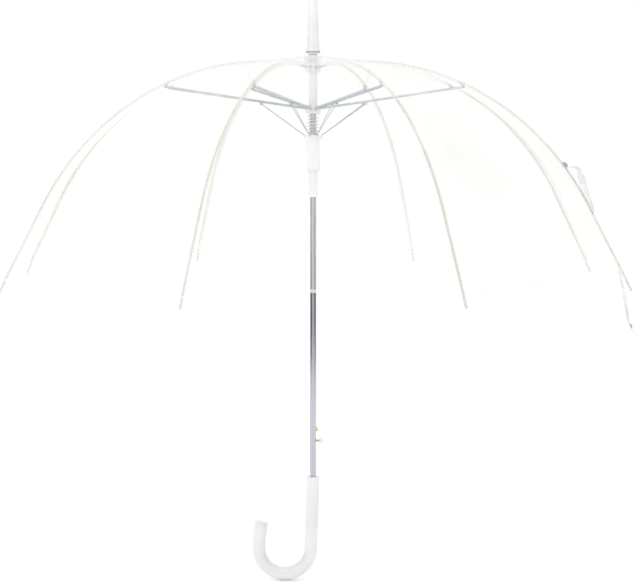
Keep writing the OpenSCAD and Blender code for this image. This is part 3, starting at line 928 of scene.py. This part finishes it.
def make_strap():
    turn = azimuth(1)
    loop, length = ribbon(
        "strap_loop",
        [(-67, 3.5, 0), (-58.3, 3.5, 0), (-54.5, 8.6, -10), (-48.2, 14.1, -25), (-39.4, 12, -50),
         (-26.5, 7.9, -60), (-13.8, 5.6, -34), (0.3, 5, -12), (13.3, 3.6, 0)],
        10 * MM, 0.0, turn, STRAP,
    )
    finish_piece(loop, "rib_outer_1", "clear_film", "closure_strap")
    tail, _ = ribbon(
        "strap_tail",
        [(97, -0.9, -20), (110.3, -4.9, -30), (123.7, -8.1, -45), (136.6, -12.5, -60),
         (149.4, -16.8, -65), (162.6, -21, -40), (167, -22, 0), (175, -22, 0), (180, -21.8, 0),
         (187.1, -18.1, 0)],
        5 * MM, 5.4 * MM, turn, STRAP,
    )
    finish_piece(tail, "rib_outer_1", "clear_film")
    socket = make_snap("strap_socket", turn, -62.5, 3.9, 0.0, 4 * MM)
    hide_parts("strap_snap")
    stud = make_snap("strap_stud", turn, 171, -21.6, 5.4 * MM, 3.4 * MM)
    for piece in (loop, tail, socket, stud):
        press_to_rod(piece)


# ---------------------------------------------------------------- assembly


def make_all():
    for i in RIBS:
        make_rod(i)
        make_blade(i)
        make_clip(i)
        make_tip(i)
        make_seam(i)
        for side in (-1, 1):
            make_half_gore(i, side, True)
            make_half_gore(i, side, False)
            make_hem(i, side)
    make_handle()
    make_ferrule()
    make_spring()
    make_hubs()
    make_latch()
    make_stretchers()
    make_strap()
    shaft = frame["nodes"]["shaft"].data
    shaft.materials.clear()
    shaft.materials.append(SHAFT)


# ---------------------------------------------------------------- camera, floor and light

EYE_HEIGHT = 0.5166
EYE_DISTANCE = 3.0
LENS = 119.4
AIM = Vector((0.0098, 0, 0.2634))
FLOOR_RADIUS = 14.0
FLOOR_GLOW = 0.12
CARD_DISTANCE = 2.4
CARD_FOOT, CARD_TOP = -0.13, 2.2
SKY_STRENGTH = 1.05
KEY_PLACE = (-1.6, -1.8, 1.6)
KEY_AIM = (0, 0, 0.25)
KEY_SIZE = (1.4, 1.4)
KEY_POWER = 7


def make_camera():
    data = bpy.data.cameras.new("camera")
    data.lens = LENS
    data.sensor_width = 36
    data.clip_end = 100
    camera = bpy.data.objects.new("camera", data)
    bpy.context.scene.collection.objects.link(camera)
    camera.location = (0, -EYE_DISTANCE, EYE_HEIGHT)
    camera.rotation_mode = "QUATERNION"
    camera.rotation_quaternion = (AIM - camera.location).to_track_quat("-Z", "Y")
    bpy.context.scene.camera = camera


def soft_light(name, place_at, aim, size, power):
    data = bpy.data.lights.new(name, "AREA")
    data.shape = "RECTANGLE"
    data.size, data.size_y = size
    data.energy = power
    lamp = bpy.data.objects.new(name, data)
    bpy.context.scene.collection.objects.link(lamp)
    lamp.location = place_at
    lamp.rotation_mode = "QUATERNION"
    lamp.rotation_quaternion = (Vector(aim) - Vector(place_at)).to_track_quat("-Z", "Y")


def make_floor():
    """Pale disc just below the crook; its own faint glow keeps it as pale as the studio."""
    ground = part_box("handle")[0][2] - 0.5 * MM
    shader = Shader("floor")
    shader.set(Roughness=1.0, Specular_IOR_Level=0.0, Emission_Color=(1, 1, 1, 1))
    shader.set(Emission_Strength=FLOOR_GLOW)
    shader.colours(shader.noise(2.0, 2), (0.9, 0.9, 0.9), (0.92, 0.92, 0.92))
    sides = 96
    verts = [Vector((0, 0, ground))]
    for k in range(sides):
        a = 2 * math.pi * k / sides
        verts.append(Vector((FLOOR_RADIUS * math.cos(a), FLOOR_RADIUS * math.sin(a), ground)))
    faces = [(0, 1 + k, 1 + (k + 1) % sides) for k in range(sides)]
    floor = new_object("floor", verts, faces, shader.material)


def make_cards():
    """Cards round the object, seen only in gloss: the dark ones draw the edges of bright pieces."""
    shades = {
        "dark": (0.012, 0.012, 0.014),
        "grey": (0.3, 0.3, 0.31),
    }
    paints = {}
    for name, shade in shades.items():
        shader = Shader(f"card_{name}")
        shader.set(Base_Color=(*shade, 1), Roughness=1.0, Specular_IOR_Level=0.0)
        paints[name] = shader.material
    # Each card: where it stands round the object, counted from the camera's side, and its width.
    for name, middle, width, paint in (
        ("front", 0, 36, "grey"), ("right", 66, 46, "dark"), ("left", -66, 46, "dark"),
        ("right_back", 118, 22, "dark"), ("left_back", -118, 22, "dark"),
    ):
        verts = []
        for k in range(13):
            a = math.radians(middle - width / 2 + width * k / 12) - math.pi / 2
            for z in (CARD_FOOT, CARD_TOP):
                verts.append(Vector((CARD_DISTANCE * math.cos(a), CARD_DISTANCE * math.sin(a), z)))
        faces = [(2 * k, 2 * k + 2, 2 * k + 3, 2 * k + 1) for k in range(12)]
        card = new_object(f"card_{name}", verts, faces, paints[paint])
        card.visible_camera = False
        card.visible_diffuse = False
        card.visible_transmission = False
        card.visible_shadow = False


def make_world():
    world = bpy.data.worlds.new("studio")
    world.use_nodes = True
    sky = world.node_tree.nodes["Background"]
    sky.inputs["Color"].default_value = (1, 1, 1, 1)
    sky.inputs["Strength"].default_value = SKY_STRENGTH
    bpy.context.scene.world = world
    bpy.context.scene.view_settings.view_transform = "Standard"
    bpy.context.scene.cycles.transparent_max_bounces = 48


make_camera()
make_all()
make_floor()
make_cards()
make_world()
soft_light("key", KEY_PLACE, KEY_AIM, KEY_SIZE, KEY_POWER)
